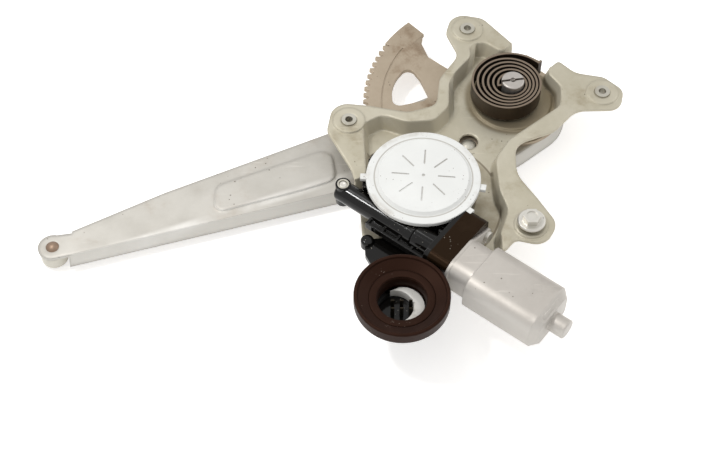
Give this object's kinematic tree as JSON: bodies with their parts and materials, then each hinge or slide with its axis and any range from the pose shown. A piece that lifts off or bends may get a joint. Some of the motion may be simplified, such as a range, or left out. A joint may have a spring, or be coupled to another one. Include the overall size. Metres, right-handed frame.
{
  "type": "window regulator",
  "caption": "Single-arm sector type window regulator with gear motor: dished plate, clock spring, toothed sector and lift arm with a tip roller.",
  "frame": {"origin": "centre of the left fixing ear (ear A) on the ears' top faces, which meet the door's inner panel", "axes": "+Z out of the plate towards the door's inner panel, along the fixing bolts; +X from the lift arm's side towards the far fixing ear"},
  "size_m": [0.379, 0.2757, 0.0517],
  "materials": {
    "plate_zinc": "galvanised, dull grey with a warm cast",
    "nut_zinc": "zinc plated",
    "bolt_zinc": "bright zinc",
    "bronze": "sintered bronze",
    "spring_steel": "dark brown phosphated, oiled",
    "housing_black": "glossy black moulding",
    "cover_white": "off-white, scuffed",
    "yoke_zinc": "galvanised, pale grey",
    "ferrite": "ferrite",
    "brush_brown": "dark brown moulding",
    "seal_rubber": "dark brown rubber",
    "terminal_tin": "tinned brass",
    "arm_zinc": "galvanised, pale",
    "sector_zinc": "galvanised, greased and stained",
    "shaft_steel": "turned steel",
    "rivet_brown": "browned steel",
    "roller_nylon": "natural nylon",
    "wheel_nylon": "natural acetal",
    "damper_rubber": "black rubber",
    "core_iron": "laminated iron",
    "copper": "copper"
  },
  "bodies": {
    "plate": {"base_plate": "plate_zinc", "weld_nuts": "nut_zinc", "hanging_bolt": "bolt_zinc", "pivot_bushing": "bronze", "clock_spring": "spring_steel", "gear_housing": "housing_black", "boss_sleeve": "nut_zinc", "motor_screws": "bolt_zinc", "gear_cover": "cover_white", "motor_yoke": "yoke_zinc", "magnets": "ferrite", "flange_screws": "bolt_zinc", "brush_cover": "brush_brown", "brushes": "ferrite", "shaft_bearings": "bronze", "connector_housing": "housing_black", "connector_insert": "cover_white", "connector_seal": "seal_rubber", "connector_terminals": "terminal_tin"},
    "arm": {"lift_arm": "arm_zinc", "sector_gear": "sector_zinc", "pivot_shaft": "shaft_steel", "thrust_washer": "nut_zinc", "retaining_ring": "spring_steel", "arm_rivets": "nut_zinc", "tip_stud": "rivet_brown"},
    "roller": {"tip_roller": "roller_nylon"},
    "output": {"worm_wheel": "wheel_nylon", "damper": "damper_rubber", "drive_plate": "nut_zinc", "output_pinion": "shaft_steel"},
    "armature": {"armature_shaft": "shaft_steel", "armature_core": "core_iron", "windings": "copper", "commutator": "copper"}
  },
  "joints": [
    {"name": "armature_turn", "type": "hinge", "parent": "plate", "child": "armature", "pos_m": [0.02731, -0.08445, 0.004], "axis": [0.7934, -0.6088, 0], "range_deg": [-7630, 57988]},
    {"name": "wheel_turn", "type": "hinge", "parent": "plate", "child": "output", "pos_m": [0.04691, -0.05891, 0], "axis": [0, 0, 1], "range_deg": [-828.4, 109]},
    {"name": "arm_lift", "type": "hinge", "parent": "plate", "child": "arm", "pos_m": [0.1088, 0.0285, 0], "axis": [0, 0, 1], "range_deg": [-10, 76], "deforming": ["clock_spring"]},
    {"name": "roller_spin", "type": "hinge", "parent": "arm", "child": "roller", "pos_m": [-0.1876, -0.0877, -0.0218], "axis": [0, 0, 1], "continuous": true}
  ],
  "couplings": [
    {"joint": "wheel_turn", "follows": "armature_turn", "ratio": -0.014286},
    {"joint": "arm_lift", "follows": "armature_turn", "ratio": 0.0013106}
  ]
}
